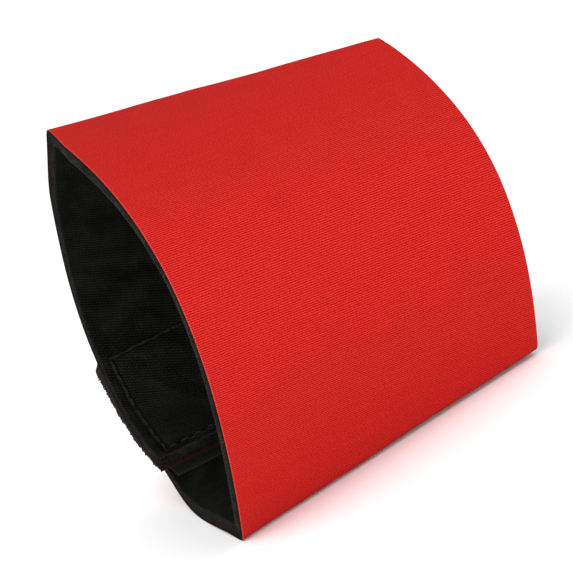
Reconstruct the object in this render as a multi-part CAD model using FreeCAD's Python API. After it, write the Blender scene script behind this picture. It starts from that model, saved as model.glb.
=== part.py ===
import FreeCAD, Part
import math
import os

# Wrap-around wrist cuff of laminated foam, closed by hook-and-loop tape.  All lengths in mm.
#
# The cuff is drawn about its own axes first: X along the tube from the wide rim, Y from crease
# to crease, Z out of the front panel.  At the end it is rolled and pitched so that it lies on
# the outer flap, the way a free cuff comes to rest.
#
# A pair of values is (wide rim, narrow rim).
LENGTH = 63.4
HALF_WIDTH = (40.1, 31.9)      # half the distance between the creases
CROWN = (34.7, 17.95)          # height of the front panel above the creases
KEEL = (45.2, 36.0)            # depth of the closure side below the creases
CROWN_POWER = 1.93             # 2 would be a parabola
KEEL_POWER = 2.3
RIM_BOW = 1.9                  # how far the front panel's narrow rim bulges at its middle

JERSEY = 0.4                   # outer knit
FOAM = 2.2
LINING = 0.4                   # inner knit
LAMINATE = JERSEY + FOAM + LINING
CREASE_GAP = 0.3               # between two panels at a crease

# Places across the closure side, as fractions of the half width: -1 is the lower crease
INNER_FLAP_END = (-0.515, -0.68)
OUTER_FLAP_END = (0.17, 0.24)
TAPE = ((-0.505, -0.585), (0.145, 0.20))
PILE = ((-0.45, -0.525), (0.09, 0.135))
SEAM = ((-0.487, -0.565), (0.125, 0.175))

TAPE_BACKING = 0.5
HOOKS = 1.3
LOOPS = 0.5
PILE_GAP = 0.3                 # between the closed hooks and loops
CLOSURE = 2 * TAPE_BACKING + HOOKS + PILE_GAP + LOOPS
TAPE_INSET = (0.05, -0.85)     # from the wide rim to the tape, at its lower and upper edge
SEAM_INSET = (2.4, 2.1)
TAPE_LENGTH = 61.0
SEAM_LENGTH = 57.5
THREAD = 0.5                   # width of a row of stitches
THREAD_RAISED = 0.25

UPPER_DIP = 0.8                # the inner flap sinks this far below the plain outline...
LOWER_DIP = 0.8                # ...and as much again towards its free end
FLAP_SHIFT = 2.7               # the outer flap is closed this far askew along the tube
CORNER_TRIM = 0.9              # the wide rim is cut back this far at the upper crease

REST_ROLL = 70.69              # degrees about X
REST_PITCH = 6.41              # degrees about Y


def between(pair, u):
    return pair[0] + (pair[1] - pair[0]) * u


def smooth_step(t, start, end):
    s = min(max((t - start) / (end - start), 0.0), 1.0)
    return s * s * (3.0 - 2.0 * s)


def dip(t):
    """How far the inner flap lies inside the plain outline."""
    return UPPER_DIP * smooth_step(t, 0.95, 0.6) + LOWER_DIP * smooth_step(t, -0.1, -0.5)


def height(side, u):
    """Signed height and power of the front (side 1) or closure side (side -1)."""
    return (between(CROWN, u), CROWN_POWER) if side > 0 else (-between(KEEL, u), KEEL_POWER)


def outline(side, u, t, lift):
    """Point of the section at fraction t of the half width, moved outward by lift."""
    w = between(HALF_WIDTH, u)
    h, p = height(side, u)
    slope = -h * p * math.copysign(abs(t) ** (p - 1.0), t)
    size = math.hypot(slope, w)
    return (w * t - side * slope / size * lift,
            h * (1.0 - abs(t) ** p) + side * w / size * lift)


def crease_point(side, u, end, depth):
    """Where a panel's ply at this depth meets the crease plane, half the gap short of it."""
    w = between(HALF_WIDTH, u)
    ways = {}
    for s in (1, -1):
        h, p = height(s, u)
        size = math.hypot(w, h * p)
        ways[s] = (-end * w / size, h * p / size)
    half = 0.5 * math.acos(ways[1][0] * ways[-1][0] + ways[1][1] * ways[-1][1])
    middle = [ways[1][k] + ways[-1][k] for k in (0, 1)]
    size = math.hypot(*middle)
    back = 0.5 * CREASE_GAP / math.sin(half)
    return (end * w + middle[0] / size * depth / math.sin(half) + ways[side][0] * back,
            middle[1] / size * depth / math.sin(half) + ways[side][1] * back)


def corner(t):
    return CORNER_TRIM * smooth_step(t, 0.8, 1.0)


def front_place(t):
    return 0.0, corner(t), RIM_BOW * (1.0 - t * t)


def inner_place(t):
    return -dip(t), corner(t), 0.0


def outer_place(t):
    """The outer flap leaves the lower crease and rises over the inner flap and the tapes."""
    shift = FLAP_SHIFT * smooth_step(t, -0.95, -0.25)
    rise = smooth_step(t, -0.96, -0.54)
    return rise * (CLOSURE + LAMINATE - dip(t)), shift, shift


class Sheet:
    """A curved sheet between two places across the cuff.

    place(t) gives its lift off the plain outline and how far its wide and narrow rims are
    moved along the tube."""

    def __init__(self, side, start, end, place, inset=(0.0, 0.0), length=LENGTH):
        self.side, self.start, self.end, self.place = side, start, end, place
        self.inset, self.length = inset, length

    def rim(self, narrow, depth):
        """The edge curve at the wide (0) or narrow (1) rim, this deep in the sheet."""
        start, end = self.start[narrow], self.end[narrow]
        count = 4 + int(12 * (end - start))
        points = []
        for k in range(count + 1):
            t = start + (end - start) * k / count
            lift, *moves = self.place(t)
            x = between(self.inset, k / count) + narrow * self.length + moves[narrow]
            if abs(t) > 0.999:
                y, z = crease_point(self.side, x / LENGTH, t, depth)
            else:
                y, z = outline(self.side, x / LENGTH, t, lift - depth)
            points.append(FreeCAD.Vector(x, y, z))
        curve = Part.BSplineCurve()
        curve.interpolate(points)
        return curve.toShape()

    def ply(self, top, bottom):
        """Solid between two depths below the sheet's outer face."""
        rims = [[self.rim(narrow, depth) for depth in (top, bottom)] for narrow in (0, 1)]
        faces = [Part.makeRuledSurface(rims[0][k], rims[1][k]) for k in (0, 1)]
        faces += [Part.makeRuledSurface(*pair) for pair in rims]
        for k in (0, 1):
            sides = [Part.makeLine(rims[0][j].Vertexes[k].Point, rims[1][j].Vertexes[k].Point)
                     for j in (0, 1)]
            faces.append(Part.makeRuledSurface(*sides))
        shell = Part.makeShell(faces)
        shell.sewShape()
        solid = Part.makeSolid(shell)
        if solid.Volume < 0.0:
            solid.reverse()
        return solid


def closure_strip(edges, inset, length, lift, thick, shift=0.0):
    """Part of a tape, its outer face lifted this far off the inner flap."""
    sheet = Sheet(-1, *edges, lambda t: (lift - dip(t), shift, shift), inset, length)
    return sheet.ply(0.0, thick)


def seam(lift, shift=0.0):
    """Rectangular row of stitches, its outer face lifted this far off the inner flap."""
    frames = []
    for way in (1, -1):
        grow = 0.5 * THREAD * way
        step = grow / HALF_WIDTH[0]
        edges = [[t - step for t in SEAM[0]], [t + step for t in SEAM[1]]]
        inset = [x - grow for x in SEAM_INSET]
        length = SEAM_LENGTH + 2 * grow
        spare = 0.2 * (1 - way)
        frames.append(closure_strip(edges, inset, length, lift + spare,
                                    THREAD_RAISED + 2 * spare, shift))
    return frames[0].cut(frames[1]).Solids[0]


creases = ((-1.0, -1.0), (1.0, 1.0))
sheets = {
    "front": Sheet(1, *creases, front_place),
    "inner_flap": Sheet(-1, INNER_FLAP_END, creases[1], inner_place),
    "outer_flap": Sheet(-1, creases[0], OUTER_FLAP_END, outer_place),
}
nodes = {}
for name, sheet in sheets.items():
    nodes[name + "_jersey"] = sheet.ply(0.0, JERSEY)
    nodes[name + "_foam"] = sheet.ply(JERSEY, JERSEY + FOAM)
    nodes[name + "_lining"] = sheet.ply(JERSEY + FOAM, LAMINATE)

hook_face = TAPE_BACKING + HOOKS
loop_face = CLOSURE - TAPE_BACKING
nodes["hook_tape_backing"] = closure_strip(
    TAPE, TAPE_INSET, TAPE_LENGTH, TAPE_BACKING, TAPE_BACKING)
nodes["hook_tape_hooks"] = closure_strip(PILE, TAPE_INSET, TAPE_LENGTH, hook_face, HOOKS)
nodes["hook_tape_needle_thread"] = seam(-LAMINATE)
nodes["hook_tape_bobbin_thread"] = seam(TAPE_BACKING + THREAD_RAISED)
nodes["loop_tape_backing"] = closure_strip(
    TAPE, TAPE_INSET, TAPE_LENGTH, CLOSURE, TAPE_BACKING, FLAP_SHIFT)
nodes["loop_tape_loops"] = closure_strip(
    PILE, TAPE_INSET, TAPE_LENGTH, loop_face, LOOPS, FLAP_SHIFT)
nodes["loop_tape_needle_thread"] = seam(loop_face, FLAP_SHIFT)
nodes["loop_tape_bobbin_thread"] = seam(CLOSURE + LAMINATE + THREAD_RAISED, FLAP_SHIFT)

roll = FreeCAD.Rotation(FreeCAD.Vector(1, 0, 0), REST_ROLL)
pitch = FreeCAD.Rotation(FreeCAD.Vector(0, 1, 0), REST_PITCH)
turn = pitch.multiply(roll)
for shape in nodes.values():
    shape.Placement = FreeCAD.Placement(FreeCAD.Vector(), turn)
bounds = Part.makeCompound(list(nodes.values())).optimalBoundingBox(False)
origin = FreeCAD.Vector(bounds.Center.x, bounds.Center.y, bounds.ZMin)

os.makedirs("parts", exist_ok=True)
for name, shape in nodes.items():
    shape.Placement = FreeCAD.Placement(origin.negative(), turn)
    print(name, shape.isValid(), shape.ShapeType, round(shape.Volume, 2))
    shape.exportStep("parts/%s.step" % name)

print("origin in the turned axes:", origin)
print("size:", bounds.XLength, bounds.YLength, bounds.ZLength)
for end in (-1, 1):
    ends = [turn.multVec(FreeCAD.Vector(narrow * LENGTH, end * HALF_WIDTH[narrow], 0.0)) - origin
            for narrow in (0, 1)]
    print("crease", end, ends, (ends[1] - ends[0]).normalize())
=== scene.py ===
import math
import random

import bpy
import numpy as np
from mathutils import Matrix, Vector

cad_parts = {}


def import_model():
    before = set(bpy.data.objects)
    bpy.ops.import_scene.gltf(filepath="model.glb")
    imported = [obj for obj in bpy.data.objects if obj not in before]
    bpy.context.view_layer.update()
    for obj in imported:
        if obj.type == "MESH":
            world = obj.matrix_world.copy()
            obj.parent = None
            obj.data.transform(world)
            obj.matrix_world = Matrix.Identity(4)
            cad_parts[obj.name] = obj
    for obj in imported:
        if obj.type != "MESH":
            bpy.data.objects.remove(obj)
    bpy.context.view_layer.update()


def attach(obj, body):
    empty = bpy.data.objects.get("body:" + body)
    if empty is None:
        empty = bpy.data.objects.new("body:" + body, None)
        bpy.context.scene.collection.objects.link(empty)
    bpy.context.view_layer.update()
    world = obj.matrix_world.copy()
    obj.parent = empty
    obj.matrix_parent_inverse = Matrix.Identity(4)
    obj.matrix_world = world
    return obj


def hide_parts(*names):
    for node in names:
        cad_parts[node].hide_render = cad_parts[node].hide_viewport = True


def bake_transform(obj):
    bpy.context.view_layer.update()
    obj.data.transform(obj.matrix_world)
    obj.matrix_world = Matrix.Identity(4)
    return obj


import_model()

# ---------------------------------------------------------------- the cuff's shape, in mm
# The cuff's own axes: X along the tube from the wide rim, Y from crease to crease, Z out of the
# front panel.  A pair of values is (wide rim, narrow rim).
LENGTH = 63.4
HALF_WIDTH = (40.1, 31.9)
CROWN = (34.7, 17.95)
KEEL = (45.2, 36.0)
CROWN_POWER, KEEL_POWER = 1.93, 2.3
RIM_BOW = 1.9
JERSEY, FOAM, LINING = 0.4, 2.2, 0.4
LAMINATE = JERSEY + FOAM + LINING
INNER_FLAP_END = (-0.515, -0.68)
OUTER_FLAP_END = (0.17, 0.24)
TAPE = ((-0.505, -0.585), (0.145, 0.20))
PILE = ((-0.45, -0.525), (0.09, 0.135))
SEAM = ((-0.487, -0.565), (0.125, 0.175))
TAPE_BACKING, HOOKS, LOOPS, PILE_GAP = 0.5, 1.3, 0.5, 0.3
CLOSURE = 2 * TAPE_BACKING + HOOKS + LOOPS + PILE_GAP
TAPE_INSET, SEAM_INSET = (0.05, -0.85), (2.4, 2.1)
TAPE_LENGTH, SEAM_LENGTH = 61.0, 57.5
UPPER_DIP, LOWER_DIP, FLAP_SHIFT, CORNER_TRIM = 0.8, 0.8, 2.7, 0.9
ROLL, PITCH = math.radians(70.69), math.radians(6.41)
ORIGIN = np.array((31.20668, 7.57275, -37.61277))

TAPE_WIDTH, PILE_WIDTH = 27.5, 24.0
TAPE_END_TRIM = 1.3             # how far the tape's lower corner at the wide rim is cut back
STEP = 0.5                      # spacing of the laminate's columns
MITRE_START = 0.88              # where the offset begins to turn into the crease's mitre
WALE_SPACING, COURSE_SPACING = 0.4035, 0.31        # ribs and loops of the jersey
LINING_WALE, LINING_COURSE = 0.62, 0.55
TAPE_WARP, TAPE_WEFT = 0.45, 0.6
STITCH_PITCH, THREAD_RADIUS, STITCH_POINTS = 2.7, 0.19, 9
STITCH_SUNK, STITCH_RISE = 0.46, 0.42
HOOK_PITCH, CUT_HOOK_PITCH, CUT_HOOK_BAND = 0.9, 0.4, 1.3
HOOK_RADIUS, LOOP_PITCH, LOOP_RADIUS = 0.11, 0.85, 0.045
HOOK_PATH = ((0.0, 0.0), (0.45, 0.0), (0.85, 0.04), (1.1, 0.2), (1.14, 0.42), (0.95, 0.55))
ROOT_SUNK = 0.02                # how far hooks and loops start inside their backing


def rot(axis, angle):
    return np.array(Matrix.Rotation(angle, 3, axis))


TURN = rot("Y", PITCH) @ rot("X", ROLL)


def world(p):
    """Cuff axes in mm to the row frame in metres."""
    return (np.asarray(p) @ TURN.T - ORIGIN) / 1000.0


def lerp(pair, u):
    return pair[0] + (pair[1] - pair[0]) * u


def smooth(t, a, b):
    s = np.clip((t - a) / (b - a), 0.0, 1.0)
    return s * s * (3.0 - 2.0 * s)


def dip(t):
    return UPPER_DIP * smooth(t, 0.95, 0.6) + LOWER_DIP * smooth(t, -0.1, -0.5)


def height(side, u):
    return (lerp(CROWN, u), CROWN_POWER) if side > 0 else (-lerp(KEEL, u), KEEL_POWER)


def outline(side, u, t):
    """Points (y, z) of the section and the outward normals there."""
    w = lerp(HALF_WIDTH, u)
    h, p = height(side, u)
    slope = -h * p * np.sign(t) * np.abs(t) ** (p - 1.0)
    size = np.hypot(slope, w)
    return (np.stack([w * t, h * (1.0 - np.abs(t) ** p)], -1),
            np.stack([-side * slope / size, side * w / size], -1))


def mitre(u, end):
    """Inward offset, per mm of depth, along the plane that halves a crease."""
    w = lerp(HALF_WIDTH, u)
    ways = []
    for s in (1, -1):
        h, p = height(s, u)
        way = np.stack([-end * w, h * p], -1)
        ways.append(way / np.linalg.norm(way, axis=-1)[..., None])
    half = 0.5 * np.arccos((ways[0] * ways[1]).sum(-1))
    middle = ways[0] + ways[1]
    return middle / (np.linalg.norm(middle, axis=-1) * np.sin(half))[..., None]


def section(side, u, t, lift, depth):
    """Points (y, z) at this depth below a face lifted off the outline, mitred at a crease."""
    base, normal = outline(side, u, t)
    offset = normal * (lift - depth)[:, None]
    for end in (-1, 1):
        k = smooth(t * end, MITRE_START, 1.0)[:, None]
        offset = offset * (1 - k) + k * (mitre(u, end) * np.asarray(depth)[:, None])
    return base + offset


# The laminate runs without a break from the outer flap's end, round the lower crease, over the
# front, round the upper crease and to the inner flap's end.  A column is one place along it.
def even(side, start, end, lift, step):
    """Fractions 0..1 evenly spaced along the arc at the wide rim."""
    k = np.linspace(0.0, 1.0, 2001)
    t = start + (end - start) * k
    p = section(side, 0.0, t, lift(t), 0.0 * t)
    s = np.concatenate([[0.0], np.cumsum(np.linalg.norm(np.diff(p, axis=0), axis=1))])
    n = max(2, int(round(s[-1] / step)))
    return np.interp(np.linspace(0.0, s[-1], n + 1), s, k)


def rise(t):
    return smooth(t, -0.96, -0.54) * (CLOSURE + LAMINATE - dip(t))


def corner(t):
    return CORNER_TRIM * smooth(t, 0.8, 1.0)


def skew(t):
    return FLAP_SHIFT * smooth(t, -0.95, -0.25)


PANELS = (
    # side, start pair, end pair, lift, move at wide rim, move at narrow rim
    (-1, OUTER_FLAP_END, (-1.0, -1.0), rise, skew, skew),
    (1, (-1.0, -1.0), (1.0, 1.0), lambda t: 0 * t, corner, lambda t: RIM_BOW * (1 - t * t)),
    (-1, (1.0, 1.0), INNER_FLAP_END, lambda t: -dip(t), corner, lambda t: 0 * t),
)


class Strip:
    """The laminate's columns at one spacing."""

    def __init__(self, step):
        self.cols = []
        self.marks = [0]
        for j, (side, a, b, lift, _, _) in enumerate(PANELS):
            k = even(side, a[0], b[0], lift, step)
            if j:
                k = k[1:]
            self.cols.append((j, k))
            self.marks.append(self.marks[-1] + len(k))
        self.count = self.marks[-1]
        self.marks[-1] -= 1
        self.step = step
        # columns of the two creases
        self.creases = (self.marks[1] - 1, self.marks[2] - 1)

    def rims(self, depth):
        """Points at the wide and the narrow rim, (columns, 3) each, in the cuff's axes."""
        out = []
        for narrow in (0, 1):
            pts = []
            for j, k in self.cols:
                side, a, b, lift, near, far = PANELS[j]
                t = lerp((a[narrow], b[narrow]), k)
                x = narrow * LENGTH + (far if narrow else near)(t)
                yz = section(side, x / LENGTH, t, lift(t), np.full_like(t, depth))
                pts.append(np.column_stack([x, yz]))
            p = np.vstack(pts)
            out.append(self.rounded(p, depth))
        return out

    def rounded(self, p, depth):
        """Rounds the two creases: generously on the outside, tightly on the lining."""
        sigma = (1.25 - 0.22 * depth) / self.step
        n = int(4 * sigma) + 1
        kernel = np.exp(-0.5 * (np.arange(-n, n + 1) / sigma) ** 2)
        kernel /= kernel.sum()
        padded = np.vstack([np.repeat(p[:1], n, 0), p, np.repeat(p[-1:], n, 0)])
        soft = np.stack([np.convolve(padded[:, c], kernel, "valid") for c in range(3)], -1)
        i = np.arange(len(p))
        mask = np.zeros(len(p))
        for c in self.creases:
            mask = np.maximum(mask, 1 - smooth(np.abs(i - c) * self.step, 5.0, 10.0))
        return p + (soft - p) * mask[:, None]


fine = Strip(STEP)


# ---------------------------------------------------------------- meshes
def arc_from_front(p):
    """Distance along one rim of the laminate, from the front's middle column."""
    s = np.concatenate([[0.0], np.cumsum(np.linalg.norm(np.diff(p, axis=0), axis=1))])
    return s - s[MIDDLE]


def value_noise(a, b, size, seed):
    """Smooth noise in about -1..1 over the plane (a, b), both in mm."""
    rng = np.random.RandomState(seed)
    table = rng.uniform(-1.0, 1.0, (64, 64))
    x, y = a / size + 1000.0, b / size + 1000.0
    i, j = np.floor(x).astype(int), np.floor(y).astype(int)
    fx, fy = x - i, y - j
    fx, fy = fx * fx * (3 - 2 * fx), fy * fy * (3 - 2 * fy)
    g = lambda p, q: table[p % 64, q % 64]
    return ((g(i, j) * (1 - fx) + g(i + 1, j) * fx) * (1 - fy)
            + (g(i, j + 1) * (1 - fx) + g(i + 1, j + 1) * fx) * fy)


def seam_distance(narrow_fraction, t, x):
    """Distance in mm to the stitched rectangle on the closure, and whether inside it."""
    lo, hi = lerp(SEAM[0], narrow_fraction), lerp(SEAM[1], narrow_fraction)
    w = lerp(HALF_WIDTH, narrow_fraction)
    h = lerp(KEEL, narrow_fraction)
    arc = lambda a: w * np.hypot(1.0, h / w * KEEL_POWER * np.abs(a) ** (KEEL_POWER - 1.0))
    k = (t - lo) / (hi - lo)
    inset = lerp(SEAM_INSET, k)
    far = inset + SEAM_LENGTH
    dt = np.maximum((lo - t) * arc(lo), (t - hi) * arc(hi))
    dx = np.maximum(inset - x, x - far)
    outside = np.hypot(np.maximum(dt, 0), np.maximum(dx, 0))
    inside = np.minimum(np.maximum(dt, dx), 0)
    return np.abs(outside + inside), np.where(outside > 0, 0.0, 1.0)


def column_places(strip):
    """For every column: panel number, wide-rim t, narrow-rim t."""
    out = []
    for j, k in strip.cols:
        side, a, b = PANELS[j][:3]
        out.append(np.column_stack([np.full_like(k, j), lerp((a[0], b[0]), k), lerp((a[1], b[1]), k)]))
    return np.vstack(out)


PLACES = column_places(fine)
MIDDLE = (fine.marks[1] + fine.marks[2]) // 2       # the front's middle column
SPLIT = fine.marks[1] + int(0.86 * (fine.marks[2] - fine.marks[1]))
END_ROWS, END_POINTS = 5, 60                        # mesh over each free end


def vertex_normals(v, faces):
    """Area-weighted unit normals of a mesh of four-sided faces."""
    n = np.zeros_like(v)
    a, b, c, d = (v[faces[:, k]] for k in range(4))
    f = np.cross(c - a, d - b)
    for k in range(4):
        np.add.at(n, faces[:, k], f)
    return n / np.maximum(np.linalg.norm(n, axis=1), 1e-12)[:, None]


def new_mesh(name, v, faces, attrs, normals=None):
    """A smooth-shaded object from points in the row frame, with one value per point per name."""
    mesh = bpy.data.meshes.new(name)
    mesh.from_pydata(v.tolist(), [], faces.tolist() if hasattr(faces, "tolist") else faces)
    for key, values in attrs.items():
        layer = mesh.attributes.new(key, "FLOAT", "POINT")
        layer.data.foreach_set("value", np.asarray(values, np.float32))
    mesh.polygons.foreach_set("use_smooth", [True] * len(mesh.polygons))
    if normals is not None:
        mesh.normals_split_custom_set_from_vertices(normals.tolist())
    mesh.update()
    obj = bpy.data.objects.new(name, mesh)
    bpy.context.scene.collection.objects.link(obj)
    return obj


def ply_grid(profile, rims):
    """Points of a ply, columns by profile rows, and what its materials and shape need to know."""
    count, width = fine.count, len(profile)
    grid = np.zeros((count, width, 3))
    wale, t, rim_gap = (np.zeros((count, width)) for _ in range(3))
    wide_arc, narrow_arc = (arc_from_front(p) for p in fine.rims(0.0))
    for i, (rim, inset, depth) in enumerate(profile):
        near, far = rims[depth]
        span = far[:, 0] - near[:, 0]
        u = (inset / span) if rim == 0 else 1.0 - inset / span
        grid[:, i] = near + (far - near) * u[:, None]
        wale[:, i] = wide_arc + (narrow_arc - wide_arc) * u
        t[:, i] = PLACES[:, 1] + (PLACES[:, 2] - PLACES[:, 1]) * u
        rim_gap[:, i] = np.minimum(u * span, (1 - u) * span)
    end_gap = np.minimum(wale - wale[:1], wale[-1:] - wale)
    depths = np.broadcast_to(np.array([d for _, _, d in profile]), (count, width))
    attrs = {"wale": wale.ravel(), "along": grid[..., 0].ravel(),
             "edge": np.minimum(rim_gap, end_gap).ravel(),
             "panel": np.repeat(PLACES[:, 0], width), "depth": depths.ravel()}
    return grid, t.ravel(), attrs


def strip_faces(rows, width, closed):
    """Faces between the rows of a grid, and the row that each starts from."""
    ids = np.arange(rows * width).reshape(rows, width)
    pairs = [(i, i + 1) for i in range(width - 1)] + ([(width - 1, 0)] if closed else [])
    faces = [np.stack([ids[:-1, i], ids[1:, i], ids[1:, j], ids[:-1, j]], -1) for i, j in pairs]
    return np.vstack(faces), np.tile(np.arange(rows - 1), len(pairs))


def outward_directions(grid):
    """Unit vectors across the tube, square to each profile row, pointing out of the cuff."""
    around = np.gradient(grid, axis=0)
    outward = np.zeros_like(grid)
    outward[..., 1], outward[..., 2] = around[..., 2], -around[..., 1]
    outward /= np.maximum(np.linalg.norm(outward, axis=2), 1e-9)[..., None]
    return -outward if outward[MIDDLE, 0, 2] < 0 else outward


def free_end(column, top, bottom, wale):
    """The ply's end face at its first or last column, between two depths."""
    edges = zip(fine.rims(top), fine.rims(bottom))
    near, far = ((t[column], b[column]) for t, b in edges)
    across = np.linspace(0.0, 1.0, END_POINTS)[:, None]
    points = []
    for row in range(END_ROWS):
        down = row / (END_ROWS - 1)
        start = near[0] + (near[1] - near[0]) * down
        end = far[0] + (far[1] - far[0]) * down
        points.append(start + (end - start) * across)
    points = np.vstack(points)
    ids = np.arange(END_ROWS * END_POINTS).reshape(END_ROWS, END_POINTS)
    faces = np.stack([ids[:-1, :-1], ids[:-1, 1:], ids[1:, 1:], ids[1:, :-1]], -1).reshape(-1, 4)
    if column == 0:
        faces = faces[:, ::-1]
    size = len(points)
    attrs = {"wale": np.full(size, wale), "along": points[:, 0], "edge": np.zeros(size),
             "panel": np.full(size, PLACES[column, 0]),
             "depth": np.repeat(np.linspace(top, bottom, END_ROWS), END_POINTS),
             "pull": np.zeros(size)}
    return points, faces, attrs


def ply_pieces(name, profile, shape, ends, closed=False):
    """Builds one ply of the laminate in two pieces, split on the front near the upper crease.

    profile lists (rim, distance from that rim, depth) round the ply's cut through the tube;
    shape(panel, t, x, wale) gives a small extra lift; ends are the depths over which the two
    free ends are closed."""
    rims = {depth: fine.rims(depth) for _, _, depth in profile}
    grid, t, attrs = ply_grid(profile, rims)
    faces, owner = strip_faces(fine.count, len(profile), closed)
    lift = shape(attrs["panel"], t, attrs["along"], attrs["wale"])
    # pull also sets how much painted shade the lining gets along its stitched groove
    attrs["pull"] = np.abs(lift)
    v = grid.reshape(-1, 3) + outward_directions(grid).reshape(-1, 3) * lift[:, None]
    normals = vertex_normals(v, faces)

    last = fine.count - 1
    out = []
    for part, first_column, end_column, column in (("lower", 0, SPLIT, 0), ("upper", SPLIT, last, last)):
        kept = faces[(owner >= first_column) & (owner < end_column)]
        used = np.unique(kept)
        number = np.full(len(v), -1)
        number[used] = np.arange(len(used))
        wale = attrs["wale"][column * len(profile)]
        end_points, end_faces, end_attrs = free_end(column, *ends, wale)
        points = np.vstack([v[used], end_points])
        piece_faces = np.vstack([number[kept], end_faces + len(used)])
        values = {k: np.concatenate([a[used], end_attrs[k]]) for k, a in attrs.items()}
        piece_normals = np.vstack([normals[used], vertex_normals(end_points, end_faces)])
        out.append(new_mesh("%s_%s" % (name, part), world(points), piece_faces, values,
                            piece_normals @ TURN.T))
    return out


def flap_point(panel, t, x, depth):
    """Points on a flap at fraction t, x mm along the tube and this deep below its outer face."""
    side, a, b, lift, near, far = PANELS[panel]
    t, x = np.broadcast_arrays(np.asarray(t, float), np.asarray(x, float))
    shape = t.shape
    t, x = t.ravel(), x.ravel()
    u = np.clip(x / LENGTH, -0.02, 1.08)
    start, end = lerp(a, u), lerp(b, u)
    k = (t - start) / (end - start)
    t0, t1 = lerp((a[0], b[0]), k), lerp((a[1], b[1]), k)
    d = np.broadcast_to(np.asarray(depth, float), shape).ravel()
    x0, x1 = near(t0), LENGTH + far(t1)
    p0 = np.column_stack([x0, section(side, x0 / LENGTH, t0, lift(t0), d)])
    p1 = np.column_stack([x1, section(side, x1 / LENGTH, t1, lift(t1), d)])
    s = (x - p0[:, 0]) / (p1[:, 0] - p0[:, 0])
    return (p0 + (p1 - p0) * s[:, None]).reshape(shape + (3,))


def flap_frame(panel, t, x, depth):
    """Point, across direction, along direction and outward normal on a flap."""
    e = 1e-3
    p = flap_point(panel, t, x, depth)
    across = flap_point(panel, np.asarray(t) + e, x, depth) - p
    along = flap_point(panel, t, np.asarray(x) + 0.1, depth) - p
    out = flap_point(panel, t, x, np.asarray(depth) - 0.1) - p
    unit = lambda v: v / np.linalg.norm(v, axis=-1)[..., None]
    return p, unit(across), unit(along), unit(out)


def tubes(name, paths, radius, sides=6, taper=True):
    """One mesh of many round threads; paths is (threads, points, 3) in the cuff's axes."""
    paths = np.asarray(paths)
    m, n = paths.shape[:2]
    tangent = np.gradient(paths, axis=1)
    tangent /= np.linalg.norm(tangent, axis=2)[..., None]
    ref = np.where(np.abs(tangent[..., :1]) < 0.8, np.array([1.0, 0, 0]), np.array([0, 1.0, 0]))
    a = np.cross(tangent, ref)
    a /= np.linalg.norm(a, axis=2)[..., None]
    b = np.cross(tangent, a)
    ang = np.linspace(0, 2 * np.pi, sides, endpoint=False)
    r = np.full(n, 1.0)
    if taper:
        r[0] = r[-1] = 0.55
    ring = (a[:, :, None] * np.cos(ang)[:, None] + b[:, :, None] * np.sin(ang)[:, None])
    v = paths[:, :, None] + ring * (radius * r)[None, :, None, None]
    ids = np.arange(m * n * sides).reshape(m, n, sides)
    nxt = np.roll(ids, -1, axis=2)
    quads = np.stack([ids[:, :-1], nxt[:, :-1], nxt[:, 1:], ids[:, 1:]], -1).reshape(-1, 4)
    faces = quads.tolist()
    faces += [list(f[::-1]) for f in ids[:, 0].tolist()] + ids[:, -1].tolist()
    return new_mesh(name, world(v.reshape(-1, 3)), faces, {})


def tape_slab(name, panel, shift, top, bottom):
    """A flat strip of tape on a flap, between two depths, with ragged cut ends."""
    nt, nx = 56, 120
    kt = np.linspace(0, 1, nt)
    kx = np.linspace(0, 1, nx)
    kt, kx = np.meshgrid(kt, kx, indexing="ij")
    x = lerp(TAPE_INSET, kt) + shift + TAPE_LENGTH * kx
    u = np.clip(x / LENGTH, 0, 1)
    lo, hi = lerp(TAPE[0], u), lerp(TAPE[1], u)
    t = lo + (hi - lo) * kt
    x = x + TAPE_END_TRIM * smooth(kt, 0.93, 1.0) * (1 - kx) ** 40
    rag = 0.12 * value_noise(kt * 60 + 7, kx * 60, 0.7, 31)
    x = np.where((kx == 0) | (kx == 1), x + rag, x)
    tops = flap_point(panel, t, x, top)
    bottoms = flap_point(panel, t, x, bottom)
    v = np.vstack([tops.reshape(-1, 3), bottoms.reshape(-1, 3)])
    ids = np.arange(nt * nx).reshape(nt, nx)
    low = ids + nt * nx
    q = lambda a, b, c, d: np.stack([a, b, c, d], -1).reshape(-1, 4)
    faces = np.vstack([
        q(ids[:-1, :-1], ids[:-1, 1:], ids[1:, 1:], ids[1:, :-1]),
        q(low[:-1, :-1], low[1:, :-1], low[1:, 1:], low[:-1, 1:]),
        q(ids[0, :-1], low[0, :-1], low[0, 1:], ids[0, 1:]),
        q(ids[-1, :-1], ids[-1, 1:], low[-1, 1:], low[-1, :-1]),
        q(ids[:-1, 0], ids[1:, 0], low[1:, 0], low[:-1, 0]),
        q(ids[:-1, -1], low[:-1, -1], low[1:, -1], ids[1:, -1])])
    arc = kt * TAPE_WIDTH
    attrs = {"wale": np.tile(arc.ravel(), 2), "along": np.tile(x.ravel(), 2),
             "edge": np.tile(np.minimum(np.minimum(kt, 1 - kt) * TAPE_WIDTH,
                                        np.minimum(kx, 1 - kx) * TAPE_LENGTH).ravel(), 2)}
    obj = new_mesh(name, world(v), faces, attrs)
    obj.data.shade_flat()
    return obj


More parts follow.
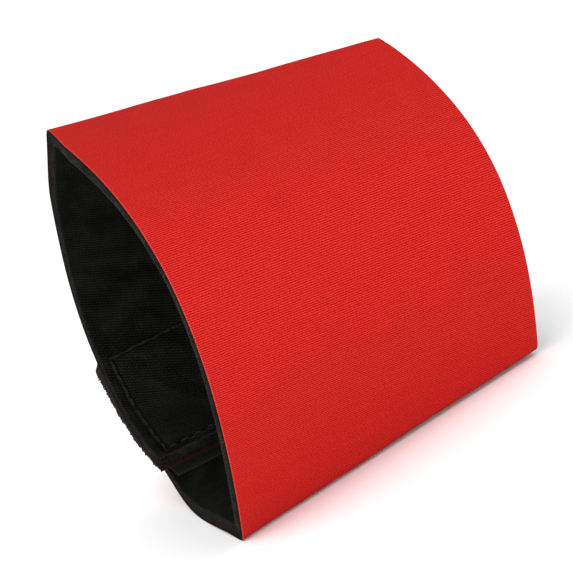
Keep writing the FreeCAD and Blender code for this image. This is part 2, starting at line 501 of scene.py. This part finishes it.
def seam_threads(name, panel, shift, depth, out, seed):
    """A rectangle of lockstitches on one face of a flap: out is 1 on its outer side."""
    rng = random.Random(seed)
    corners = []
    for (e, k, far) in ((0, 0, 0), (1, 1, 0), (1, 1, 1), (0, 0, 1)):
        x = SEAM_INSET[e] + far * SEAM_LENGTH + shift
        u = min(max(x / LENGTH, 0.0), 1.0)
        corners.append(np.array([lerp(SEAM[e], u), x]))
    paths = []
    for i in range(4):
        a, b = corners[i], corners[(i + 1) % 4]
        grid = a + (b - a) * np.linspace(0, 1, 200)[:, None]
        p = flap_point(panel, grid[:, 0], grid[:, 1], depth)
        s = np.concatenate([[0.0], np.cumsum(np.linalg.norm(np.diff(p, axis=0), axis=1))])
        count = max(2, int(round(s[-1] / STITCH_PITCH)))
        for j in range(count):
            mid = (j + 0.5) / count * s[-1] + rng.uniform(-0.12, 0.12)
            half = rng.uniform(0.74, 0.92)
            ss = np.linspace(mid - half, mid + half, STITCH_POINTS)
            tt = np.interp(ss, s, grid[:, 0])
            xx = np.interp(ss, s, grid[:, 1])
            q, across, along, normal = flap_frame(panel, tt, xx, depth)
            span = np.linspace(-1, 1, STITCH_POINTS)
            bow = 1.0 - np.abs(span) ** 4
            side = span * rng.uniform(-0.1, 0.14)
            q = q + out * normal * (-STITCH_SUNK + STITCH_RISE * bow)[:, None]
            q = q + (across if i in (1, 3) else along) * side[:, None]
            paths.append(q)
    return tubes(name, paths, THREAD_RADIUS, 8)


def pile_grid(pitch, shift, seed, jitter):
    """Scattered (t, x) roots over a tape's pile, and the generator that placed them."""
    rng = np.random.RandomState(seed)
    nt, nx = int(PILE_WIDTH / pitch), int(TAPE_LENGTH / pitch)
    kt, kx = np.meshgrid((np.arange(nt) + 0.5) / nt, (np.arange(nx) + 0.5) / nx, indexing="ij")
    kt = (kt + rng.uniform(-jitter, jitter, kt.shape) / nt).ravel()
    kx = (kx + rng.uniform(-jitter, jitter, kx.shape) / nx).ravel()
    x = lerp(TAPE_INSET, kt) + shift + TAPE_LENGTH * kx
    u = np.clip(x / LENGTH, 0, 1)
    lo, hi = lerp(PILE[0], u), lerp(PILE[1], u)
    return lo + (hi - lo) * kt, x, rng


def hook_field(name):
    """Hooks over the whole tape, and denser ones that close its cut end at the wide rim."""
    t, x, rng = pile_grid(HOOK_PITCH, 0.0, 5, 0.2)
    cut_t, cut_x, _ = pile_grid(CUT_HOOK_PITCH, 0.0, 8, 0.4)
    start = lerp(TAPE_INSET, (cut_t - PILE[0][0]) / (PILE[1][0] - PILE[0][0]))
    cut = cut_x < start + CUT_HOOK_BAND
    t, x = np.concatenate([t, cut_t[cut]]), np.concatenate([x, cut_x[cut]])
    p, across, along, normal = flap_frame(2, t, x, -TAPE_BACKING + ROOT_SUNK)
    way = np.where(rng.uniform(size=len(t)) < 0.5, 1.0, -1.0)[:, None]
    way = np.where(x[:, None] < 1.0, 0.4, way)
    lean = rng.uniform(-0.12, 0.12, (len(t), 1))
    path = np.stack([p + normal * h + along * (way * d) + across * (lean * h)
                     for h, d in HOOK_PATH], 1)
    return tubes(name, path, HOOK_RADIUS, 5, False)


def loop_field(name):
    """Small arches of fibre, turned at random."""
    t, x, rng = pile_grid(LOOP_PITCH, FLAP_SHIFT, 6, 0.9)
    p, across, along, normal = flap_frame(0, t, x, LAMINATE + TAPE_BACKING - ROOT_SUNK)
    angle = rng.uniform(0, 2 * np.pi, (len(t), 1))
    way = across * np.cos(angle) + along * np.sin(angle)
    width = rng.uniform(0.25, 0.5, (len(t), 1))
    tall = rng.uniform(0.25, 0.48, (len(t), 1))
    path = np.stack([p - normal * (tall * math.sin(a)) + way * (width * math.cos(a))
                     for a in np.linspace(0, math.pi, 6)], 1)
    return tubes(name, path, LOOP_RADIUS, 4, False)


# ---------------------------------------------------------------- materials
def material(name):
    mat = bpy.data.materials.new(name)
    mat.use_nodes = True
    nt = mat.node_tree
    nt.nodes.clear()
    out = nt.nodes.new("ShaderNodeOutputMaterial")
    bsdf = nt.nodes.new("ShaderNodeBsdfPrincipled")
    nt.links.new(bsdf.outputs[0], out.inputs[0])
    return mat, nt, bsdf


def node(nt, kind, **settings):
    n = nt.nodes.new(kind)
    for key, value in settings.items():
        setattr(n, key, value)
    return n


def feed(nt, socket, value):
    if hasattr(value, "is_linked"):
        nt.links.new(value, socket)
    else:
        socket.default_value = value


def maths(nt, op, a, b=0.0, c=None):
    n = node(nt, "ShaderNodeMath", operation=op)
    feed(nt, n.inputs[0], a)
    feed(nt, n.inputs[1], b)
    if c is not None:
        feed(nt, n.inputs[2], c)
    return n.outputs[0]


def attribute(nt, name):
    return node(nt, "ShaderNodeAttribute", attribute_name=name).outputs["Fac"]


def fabric_space(nt, sx=1.0, sy=1.0):
    n = node(nt, "ShaderNodeCombineXYZ")
    feed(nt, n.inputs[0], maths(nt, "MULTIPLY", attribute(nt, "wale"), sx))
    feed(nt, n.inputs[1], maths(nt, "MULTIPLY", attribute(nt, "along"), sy))
    return n.outputs[0]


def noise(nt, space, scale, detail=2.0, rough=0.5):
    n = node(nt, "ShaderNodeTexNoise")
    feed(nt, n.inputs["Vector"], space)
    n.inputs["Scale"].default_value = scale
    n.inputs["Detail"].default_value = detail
    n.inputs["Roughness"].default_value = rough
    return n.outputs["Fac"]


def ramp(nt, value, stops):
    n = node(nt, "ShaderNodeValToRGB")
    feed(nt, n.inputs[0], value)
    while len(n.color_ramp.elements) < len(stops):
        n.color_ramp.elements.new(0.5)
    for e, (p, c) in zip(n.color_ramp.elements, stops):
        e.position = p
        e.color = (*c, 1.0) if hasattr(c, "__len__") else (c, c, c, 1.0)
    return n.outputs[0]


def mix(nt, factor, a, b, mode="MIX"):
    n = node(nt, "ShaderNodeMix", data_type="RGBA", blend_type=mode)
    feed(nt, n.inputs[0], factor)
    for socket, value in ((n.inputs[6], a), (n.inputs[7], b)):
        if hasattr(value, "is_linked"):
            nt.links.new(value, socket)
        else:
            socket.default_value = (*value, 1.0)
    return n.outputs[2]


def bump(nt, bsdf, height, distance, strength=1.0, under=None):
    n = node(nt, "ShaderNodeBump")
    n.inputs["Strength"].default_value = strength
    n.inputs["Distance"].default_value = distance
    feed(nt, n.inputs["Height"], height)
    if under is not None:
        nt.links.new(under, n.inputs["Normal"])
    nt.links.new(n.outputs[0], bsdf.inputs["Normal"])
    return n.outputs[0]


def plain(bsdf, roughness, specular, sheen=0.0, sheen_roughness=0.5):
    """Sets the surface values that stay the same over a whole material."""
    bsdf.inputs["Roughness"].default_value = roughness
    bsdf.inputs["Specular IOR Level"].default_value = specular
    bsdf.inputs["Sheen Weight"].default_value = sheen
    bsdf.inputs["Sheen Roughness"].default_value = sheen_roughness


def waves(nt, position, spacing, drift=0.0):
    """A phase that turns once in each spacing."""
    return maths(nt, "ADD", maths(nt, "MULTIPLY", position, 2 * math.pi / spacing), drift)


def scaled(tone, factor):
    return tuple(c * factor for c in tone)


def off_front(nt):
    """0 on the front panel and 1 on either flap."""
    away = maths(nt, "ABSOLUTE", maths(nt, "SUBTRACT", attribute(nt, "panel"), 1.0))
    return maths(nt, "MINIMUM", away, 1.0)


def jersey_material():
    """Fine warp of ribs along the tube, each rib a chain of small knit loops."""
    mat, nt, bsdf = material("red_jersey")
    space = fabric_space(nt)
    drift = maths(nt, "MULTIPLY_ADD", noise(nt, space, 0.09, 2.0), 0.9, -0.45)
    phase = waves(nt, attribute(nt, "wale"), WALE_SPACING, drift)
    rib = maths(nt, "MULTIPLY_ADD", maths(nt, "COSINE", phase), 0.5, 0.5)
    half = maths(nt, "MULTIPLY", maths(nt, "COSINE", maths(nt, "MULTIPLY", phase, 0.5)), 1.9)
    course = waves(nt, attribute(nt, "along"), COURSE_SPACING, half)
    loop = maths(nt, "MULTIPLY_ADD", maths(nt, "COSINE", course), 0.5, 0.5)
    weave = maths(nt, "MULTIPLY_ADD", loop, 0.22, maths(nt, "MULTIPLY", rib, 0.78))
    grain = noise(nt, space, 4.2, 3.0, 0.7)
    rough = maths(nt, "MULTIPLY_ADD", grain, 2.9, -1.49)
    knit = maths(nt, "ADD", maths(nt, "MULTIPLY", weave, 1.10), rough)
    base = mix(nt, knit, (0.250, 0.0010, 0.0006), (0.560, 0.0265, 0.0225))

    # slow unevenness: streaks along the tube and soft clouds
    streak = noise(nt, fabric_space(nt, 1.6, 0.10), 1.0, 3.0, 0.6)
    cloud = noise(nt, space, 0.16, 3.0, 0.55)
    tone = maths(nt, "ADD", maths(nt, "MULTIPLY_ADD", streak, 0.20, 0.80),
                 maths(nt, "MULTIPLY_ADD", cloud, 0.10, -0.05))
    level = ramp(nt, maths(nt, "MULTIPLY", tone, 0.55), ((0.0, 0.0), (1.0, 1.82)))
    base = mix(nt, 1.0, base, level, "MULTIPLY")

    # pale lint and small dark flecks
    lint = ramp(nt, noise(nt, space, 2.1, 4.0, 0.75), ((0.735, 0.0), (0.80, 0.55)))
    base = mix(nt, lint, base, (0.80, 0.20, 0.17))
    fleck_space = fabric_space(nt, 0.9, 0.9)
    dark = ramp(nt, noise(nt, fleck_space, 1.7, 3.0, 0.6), ((0.24, 0.55), (0.30, 0.0)))
    base = mix(nt, dark, base, (0.16, 0.004, 0.004))

    # a pale painted highlight along the rims, standing for sheen on the rounded edge, a dark cut edge,
    # and painted shade on the rims of the flaps
    edge = attribute(nt, "edge")
    # painted highlight: the rims are lightened in colour where the rounded edge would catch sheen
    rim = ramp(nt, maths(nt, "MULTIPLY", edge, 1.6), ((0.0, 0.5), (0.42, 0.0)))
    fuzz_and_highlight = maths(nt, "MULTIPLY", rim, maths(nt, "MULTIPLY_ADD", grain, 1.6, -0.35))
    base = mix(nt, fuzz_and_highlight, base, (0.86, 0.22, 0.17))
    cut = ramp(nt, attribute(nt, "depth"), ((0.03, 0.0), (0.16, 1.0)))
    base = mix(nt, cut, base, (0.014, 0.0034, 0.0027))
    flap = maths(nt, "GREATER_THAN", off_front(nt), 0.5)
    shade = maths(nt, "MULTIPLY", flap, ramp(nt, edge, ((0.10, 0.95), (0.60, 0.0))))
    base = mix(nt, shade, base, (0.020, 0.0045, 0.0038))

    feed(nt, bsdf.inputs["Base Color"], base)
    plain(bsdf, 0.88, 0.02, 0.008)
    bsdf.inputs["Sheen Tint"].default_value = (1.0, 0.35, 0.3, 1.0)
    relief = maths(nt, "ADD", maths(nt, "MULTIPLY", weave, 0.8), maths(nt, "MULTIPLY", grain, 0.6))
    first = bump(nt, bsdf, relief, 0.00006, 0.8)
    bump(nt, bsdf, cloud, 0.0004, 0.5, first)
    return mat


def lining_material():
    """Dull black knit with faint lighter fibres; paler fuzz along its cut edges."""
    mat, nt, bsdf = material("black_lining")
    tone, fuzz_and_highlight = (0.0032, 0.0033, 0.0027), (0.052, 0.050, 0.043)
    space = fabric_space(nt)
    drift = maths(nt, "MULTIPLY_ADD", noise(nt, space, 0.15, 2.0), 2.0, -1.0)
    rib = maths(nt, "COSINE", waves(nt, attribute(nt, "wale"), LINING_WALE, drift))
    course = maths(nt, "COSINE", waves(nt, attribute(nt, "along"), LINING_COURSE))
    weave = maths(nt, "MULTIPLY_ADD", maths(nt, "MULTIPLY", rib, course), 0.25,
                  maths(nt, "MULTIPLY_ADD", rib, 0.2, 0.5))
    grain = noise(nt, space, 3.2, 4.0, 0.75)
    cloud = noise(nt, space, 0.2, 3.0)
    value = maths(nt, "ADD", maths(nt, "MULTIPLY", weave, 0.35), maths(nt, "MULTIPLY", grain, 0.65))
    value = maths(nt, "ADD", value, maths(nt, "MULTIPLY_ADD", cloud, 0.3, -0.15))
    base = ramp(nt, value, ((0.36, scaled(tone, 0.25)), (0.50, scaled(tone, 0.75)),
                            (0.61, scaled(tone, 4.0))))
    specks = ramp(nt, noise(nt, space, 2.6, 3.0, 0.8), ((0.70, 0.0), (0.78, 0.55)))
    base = mix(nt, specks, base, scaled(tone, 5.0))

    # fuzz at the rims, fainter on the flaps, and painted shade darkening the groove where the stitches
    # pull in
    rim = ramp(nt, maths(nt, "MULTIPLY", attribute(nt, "edge"), 1.4), ((0.10, 1.0), (0.62, 0.0)))
    rim = maths(nt, "MULTIPLY", rim, maths(nt, "MULTIPLY_ADD", grain, 3.4, -1.2))
    rim = maths(nt, "MULTIPLY", rim, maths(nt, "MULTIPLY_ADD", off_front(nt), -0.78, 1.0))
    base = mix(nt, rim, base, fuzz_and_highlight)
    # painted shade: the lining's colour is darkened along the stitched groove
    painted_groove_shade = ramp(nt, attribute(nt, "pull"), ((0.14, 1.0), (0.38, 0.30)))
    base = mix(nt, 1.0, base, painted_groove_shade, "MULTIPLY")

    feed(nt, bsdf.inputs["Base Color"], base)
    plain(bsdf, 0.95, 0.02, 0.004, 0.6)
    bump(nt, bsdf, maths(nt, "ADD", maths(nt, "MULTIPLY", weave, 0.6), grain), 0.00012, 0.9)
    return mat


def foam_material():
    """Dark open-celled foam, with paler ragged patches towards the lining on the front panel."""
    mat, nt, bsdf = material("black_foam")
    coords = node(nt, "ShaderNodeTexCoord").outputs["Object"]
    cells = node(nt, "ShaderNodeTexVoronoi")
    nt.links.new(coords, cells.inputs["Vector"])
    cells.inputs["Scale"].default_value = 4200.0
    grain = noise(nt, coords, 2600.0, 3.0, 0.7)
    patch = noise(nt, coords, 320.0, 3.0, 0.6)
    value = maths(nt, "ADD", maths(nt, "MULTIPLY", grain, 0.75), maths(nt, "MULTIPLY", patch, 0.5))
    inner = ramp(nt, maths(nt, "MULTIPLY", attribute(nt, "depth"), 0.3), ((0.30, 0.0), (0.72, 1.0)))
    inner = maths(nt, "MULTIPLY", inner, maths(nt, "MULTIPLY_ADD", off_front(nt), -0.75, 1.0))
    dark = ramp(nt, value, ((0.45, (0.0012, 0.0011, 0.0008)), (0.80, (0.0150, 0.0135, 0.0110))))
    pale = ramp(nt, value, ((0.45, (0.0020, 0.0019, 0.0015)), (0.62, (0.0150, 0.0145, 0.0120)),
                            (0.76, (0.060, 0.057, 0.049))))
    feed(nt, bsdf.inputs["Base Color"], mix(nt, inner, dark, pale))
    plain(bsdf, 0.9, 0.03)
    bump(nt, bsdf, maths(nt, "ADD", cells.outputs["Distance"], grain), 0.00025, 1.0)
    return mat


def thread_material(name, tone):
    """Slightly shiny fibres in one tone."""
    mat, nt, bsdf = material(name)
    coords = node(nt, "ShaderNodeTexCoord").outputs["Object"]
    fibres = noise(nt, coords, 5200.0, 3.0, 0.7)
    base = ramp(nt, fibres, ((0.3, scaled(tone, 0.5)), (0.7, scaled(tone, 1.8))))
    feed(nt, bsdf.inputs["Base Color"], base)
    plain(bsdf, 0.7, 0.10)
    bump(nt, bsdf, fibres, 0.0001, 0.8)
    return mat


def tape_material():
    """Plain-woven black tape."""
    mat, nt, bsdf = material("black_woven_tape")
    over = maths(nt, "COSINE", waves(nt, attribute(nt, "wale"), TAPE_WARP))
    under = maths(nt, "COSINE", waves(nt, attribute(nt, "along"), TAPE_WEFT))
    weave = maths(nt, "MULTIPLY_ADD", maths(nt, "MULTIPLY", over, under), 0.5, 0.5)
    grain = noise(nt, fabric_space(nt), 5.0, 3.0, 0.7)
    base = ramp(nt, maths(nt, "MULTIPLY", maths(nt, "ADD", weave, grain), 0.5),
                ((0.2, (0.004, 0.004, 0.004)), (0.8, (0.030, 0.029, 0.028))))
    feed(nt, bsdf.inputs["Base Color"], base)
    plain(bsdf, 0.8, 0.06)
    bump(nt, bsdf, maths(nt, "ADD", weave, maths(nt, "MULTIPLY", grain, 0.5)), 0.0001, 0.8)
    return mat


RED_JERSEY = jersey_material()
BLACK_LINING = lining_material()
BLACK_FOAM = foam_material()
SEAM_THREAD = thread_material("black_thread", (0.0072, 0.0074, 0.0062))
WOVEN_TAPE = tape_material()
HOOK_PLASTIC = thread_material("black_hooks", (0.012, 0.012, 0.012))
LOOP_FIBRE = thread_material("black_loops", (0.010, 0.010, 0.010))


# ---------------------------------------------------------------- the laminate
def undulation(wale, x):
    """Slight unevenness of the whole laminate, in mm."""
    return 0.10 * value_noise(wale + 300, x + 50, 15.0, 1) + 0.035 * value_noise(wale, x, 4.0, 2)


def seam_pull(panel, t, x):
    """How far the stitches pull the laminate in, for the two flaps."""
    pull = np.zeros_like(t)
    for p, shift in ((2, 0.0), (0, FLAP_SHIFT)):
        here = (panel == p) & (t < 0.6)
        xs = x[here] - shift
        u = np.clip(xs / LENGTH, 0, 1)
        d, inside = seam_distance(u, t[here], xs)
        pull[here] = np.exp(-(d / 0.62) ** 2) + 0.35 * np.exp(-(d / 1.8) ** 2) * (1 - inside)
    return pull


def jersey_shape(panel, t, x, wale):
    return undulation(wale, x) - 0.32 * seam_pull(panel, t, x) * (panel == 0)


def foam_shape(panel, t, x, wale):
    return undulation(wale, x)


def lining_shape(panel, t, x, wale):
    return undulation(wale, x) + 0.42 * seam_pull(panel, t, x) * (panel == 2)


def rows(step, depth, first=0.3):
    """Profile rows along one face, from the wide rim to the narrow one."""
    near = list(np.arange(first, LENGTH / 2, step))
    return ([(0, float(s), depth) for s in near]
            + [(1, float(s), depth) for s in reversed(near) if s < LENGTH / 2 - step * 0.7])


def both_rims(edge, face):
    """A profile from its rows over the wide rim, the same mirrored over the narrow one, and a face."""
    return ([(0, inset, depth) for inset, depth in edge] + face
            + [(1, inset, depth) for inset, depth in reversed(edge)])


UNDER = JERSEY + FOAM           # depth of the lining's outer side
JERSEY_EDGE = ((1.4, JERSEY), (0.06, JERSEY), (0.0, 0.28), (0.02, 0.12), (0.11, 0.0))
FOAM_EDGE = ((0.5, JERSEY), (0.10, JERSEY + 0.08), (0.02, JERSEY + 0.45), (0.10, JERSEY + 1.1),
             (0.03, JERSEY + 1.7), (0.12, UNDER - 0.1), (0.5, UNDER))
LINING_EDGE = ((1.4, UNDER), (0.06, UNDER), (0.0, UNDER + 0.1), (0.05, UNDER + 0.28), (0.16, LAMINATE))
FOAM_INNER = [(0, 12.0, UNDER), (0, 30.0, UNDER), (1, 12.0, UNDER)]
FOAM_OUTER = [(1, 12.0, JERSEY), (0, 30.0, JERSEY), (0, 12.0, JERSEY)]

jersey = ply_pieces("jersey", both_rims(JERSEY_EDGE, rows(0.8, 0.0)), jersey_shape, (0.0, JERSEY))
foam = ply_pieces("foam", both_rims(FOAM_EDGE, FOAM_INNER) + FOAM_OUTER, foam_shape, (JERSEY, UNDER),
                  closed=True)
lining = ply_pieces("lining", both_rims(LINING_EDGE, rows(0.5, LAMINATE, 0.4)), lining_shape,
                    (LAMINATE, UNDER))

# Each ply gets its material, the model's own plies are hidden, and the pieces' placement is baked into
# their points.
for pieces, mat, slot in ((jersey, RED_JERSEY, "jersey"), (foam, BLACK_FOAM, "foam"),
                          (lining, BLACK_LINING, "lining")):
    lower, upper = pieces
    for obj in pieces:
        obj.data.materials.append(mat)
    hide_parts("outer_flap_" + slot, "front_" + slot)
    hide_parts("inner_flap_" + slot)
    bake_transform(lower)
    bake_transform(upper)


def declare_sheet(obj):
    """Reads the along and wale values of a piece of cloth; they are not kept."""
    for key in ("along", "wale"):
        values = np.zeros(len(obj.data.vertices), np.float32)
        obj.data.attributes[key].data.foreach_get("value", values)


for part in (0, 1):
    declare_sheet(jersey[part])
    declare_sheet(lining[part])

# ---------------------------------------------------------------- tapes and stitches
closure = [
    (tape_slab("hook_backing", 2, 0.0, -TAPE_BACKING, 0.0), WOVEN_TAPE, "tape",
     "inner_flap", "hook_tape_backing"),
    (hook_field("hooks"), HOOK_PLASTIC, "hooks", "inner_flap", "hook_tape_hooks"),
    (seam_threads("hook_needle_stitches", 2, 0.0, LAMINATE, -1, 11), SEAM_THREAD, "thread",
     "inner_flap", "hook_tape_needle_thread"),
    (seam_threads("hook_bobbin_stitches", 2, 0.0, -TAPE_BACKING, 1, 12), SEAM_THREAD, "thread",
     "inner_flap", "hook_tape_bobbin_thread"),
    (tape_slab("loop_backing", 0, FLAP_SHIFT, LAMINATE, LAMINATE + TAPE_BACKING), WOVEN_TAPE,
     "tape", "outer_flap", "loop_tape_backing"),
    (loop_field("loops"), LOOP_FIBRE, "loops", "outer_flap", "loop_tape_loops"),
    (seam_threads("loop_needle_stitches", 0, FLAP_SHIFT, LAMINATE + TAPE_BACKING, -1, 13),
     SEAM_THREAD, "thread", "outer_flap", "loop_tape_needle_thread"),
    (seam_threads("loop_bobbin_stitches", 0, FLAP_SHIFT, 0.0, 1, 14), SEAM_THREAD, "thread",
     "outer_flap", "loop_tape_bobbin_thread"),
]
for obj, mat, slot, body, node_name in closure:
    obj.data.materials.append(mat)
    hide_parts(node_name)
    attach(obj, body)
    if slot == "tape":
        declare_sheet(obj)

# ---------------------------------------------------------------- floor, light, camera
bpy.ops.mesh.primitive_plane_add(size=12.0, location=(0, 0, 0))
floor = bpy.context.object
floor.name = "floor"
floor_mat, _, floor_bsdf = material("pale_floor")
floor_bsdf.inputs["Base Color"].default_value = (0.96, 0.96, 0.96, 1.0)
floor_bsdf.inputs["Roughness"].default_value = 0.9
floor_bsdf.inputs["Specular IOR Level"].default_value = 0.1
floor.data.materials.append(floor_mat)

sky = bpy.data.worlds.new("studio")
bpy.context.scene.world = sky
sky.use_nodes = True
sky.node_tree.nodes["Background"].inputs[0].default_value = (1.0, 1.0, 1.0, 1.0)
sky.node_tree.nodes["Background"].inputs[1].default_value = 1.0


def direction(v):
    """A direction in the cuff's axes, turned to the row frame's."""
    return Vector((TURN @ np.asarray(v, float)).tolist())


# the view: the picture's right and up, the way back to the camera, and its place, in the cuff's axes
RIGHT = direction((0.87693, -0.443656, 0.184832))
UP = direction((0.394344, 0.884024, 0.250989))
BACK = direction((-0.274748, -0.147212, 0.95018))
CAMERA_AT = Vector(world((-105.041, -73.836, 457.168)).tolist())
CUFF_CENTRE = Vector((0.0, 0.0, 0.038))


def softbox(name, place, size, power):
    """A square light at place = (right, up, towards the camera) in metres, aimed at the cuff."""
    lamp = bpy.data.lights.new(name, "AREA")
    lamp.shape = "SQUARE"
    lamp.size = size
    lamp.energy = power
    obj = bpy.data.objects.new(name, lamp)
    bpy.context.scene.collection.objects.link(obj)
    obj.location = CUFF_CENTRE + RIGHT * place[0] + UP * place[1] + BACK * place[2]
    obj.rotation_euler = (CUFF_CENTRE - obj.location).to_track_quat("-Z", "Y").to_euler()


softbox("key", (-0.35, 0.75, 0.75), 0.9, 5.0)
softbox("fill", (0.05, -0.22, 0.98), 0.6, 12.0)

cam = bpy.data.cameras.new("camera")
cam.sensor_width = 36.0
cam.sensor_fit = "HORIZONTAL"
cam.lens = 172.873
cam.clip_start = 0.01
cam.clip_end = 50.0
camera = bpy.data.objects.new("camera", cam)
bpy.context.scene.collection.objects.link(camera)
camera.matrix_world = Matrix((
    (RIGHT.x, UP.x, BACK.x, CAMERA_AT.x),
    (RIGHT.y, UP.y, BACK.y, CAMERA_AT.y),
    (RIGHT.z, UP.z, BACK.z, CAMERA_AT.z),
    (0.0, 0.0, 0.0, 1.0)))
bpy.context.scene.camera = camera
bpy.context.scene.view_settings.view_transform = "Standard"
